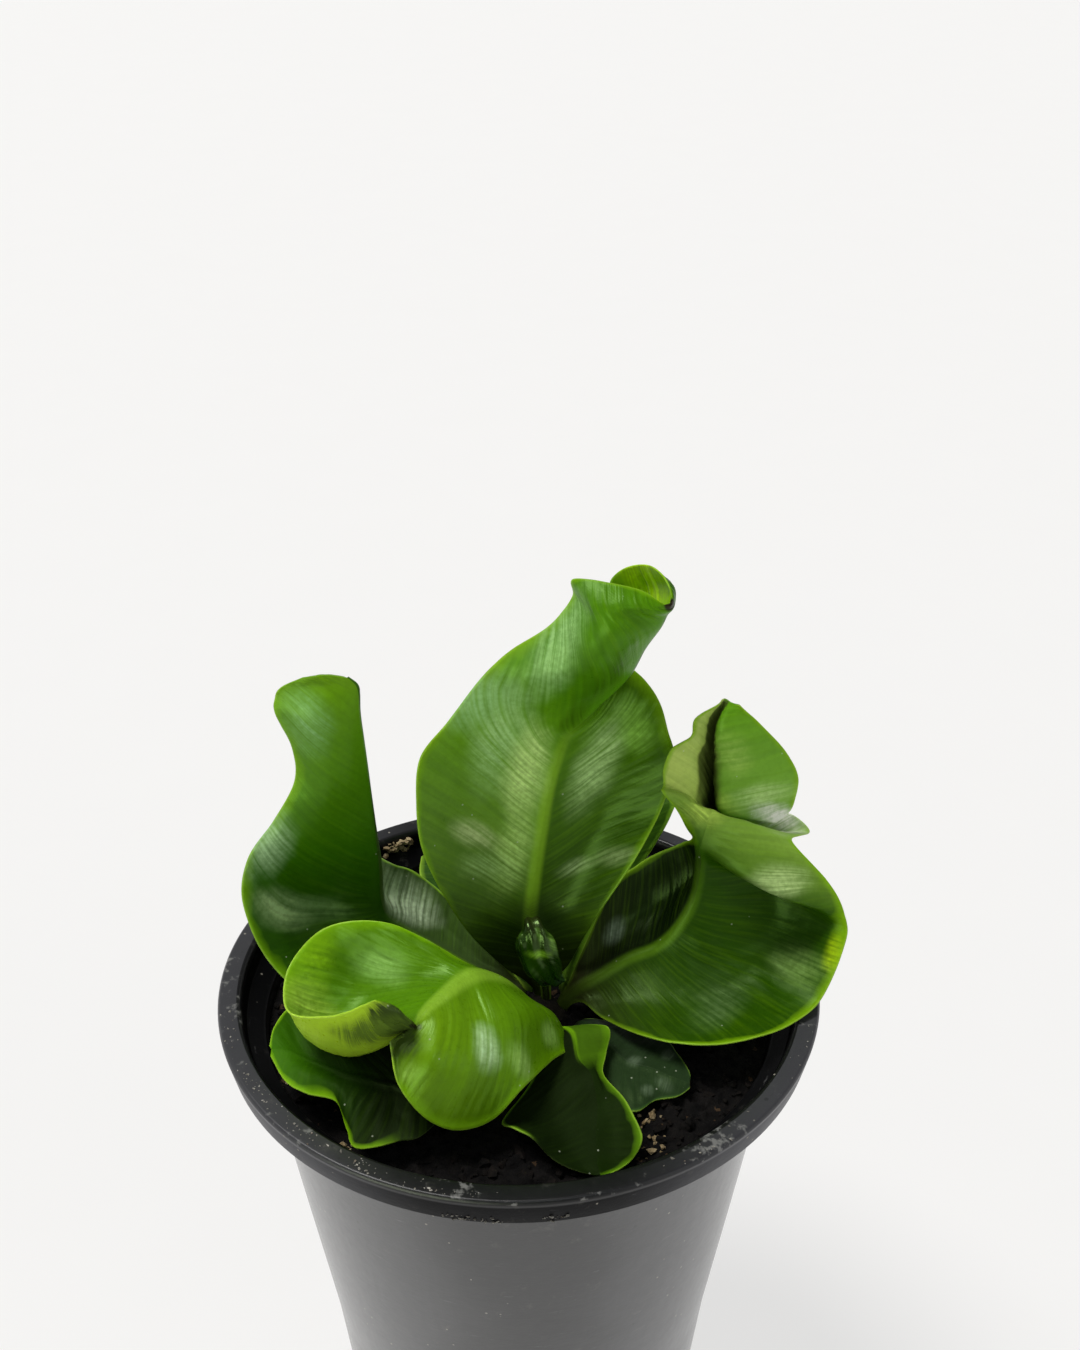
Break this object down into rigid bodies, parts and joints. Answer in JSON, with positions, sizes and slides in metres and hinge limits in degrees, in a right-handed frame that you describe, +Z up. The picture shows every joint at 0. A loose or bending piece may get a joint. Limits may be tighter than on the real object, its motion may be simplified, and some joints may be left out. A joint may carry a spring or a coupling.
{
  "type": "potted cobra bird's nest fern",
  "caption": "Young cobra bird's nest fern with broad, waved and rolled glossy fronds round a low crown, growing in a tapered round plastic nursery pot filled with potting mix.",
  "frame": {"origin": "centre of the pot's underside, on the flat boss that it stands on", "axes": "+Z up along the pot's axis, -Y towards the front of the plant as pictured, +X to the right"},
  "size_m": [0.1352, 0.13, 0.2147],
  "materials": {
    "pot_plastic": "satin black moulded plastic with pale scuffs",
    "potting_mix": "rough, dark and crumbly with a few pale bits",
    "rootstock": "dull brown with blunt scales",
    "frond_green": "glossy green, fine side veins, pale midrib and a thin light margin",
    "young_green": "very glossy bright green"
  },
  "bodies": {
    "root": {"pot": "pot_plastic", "soil": "potting_mix", "crown": "rootstock", "frond_back": "frond_green", "frond_left": "frond_green", "frond_front": "frond_green", "frond_right": "frond_green", "frond_front_right": "frond_green", "frond_low_right": "frond_green", "frond_low_left": "frond_green", "frond_rear": "frond_green", "frond_rear_left": "frond_green", "crozier": "young_green"}
  },
  "joints": []
}
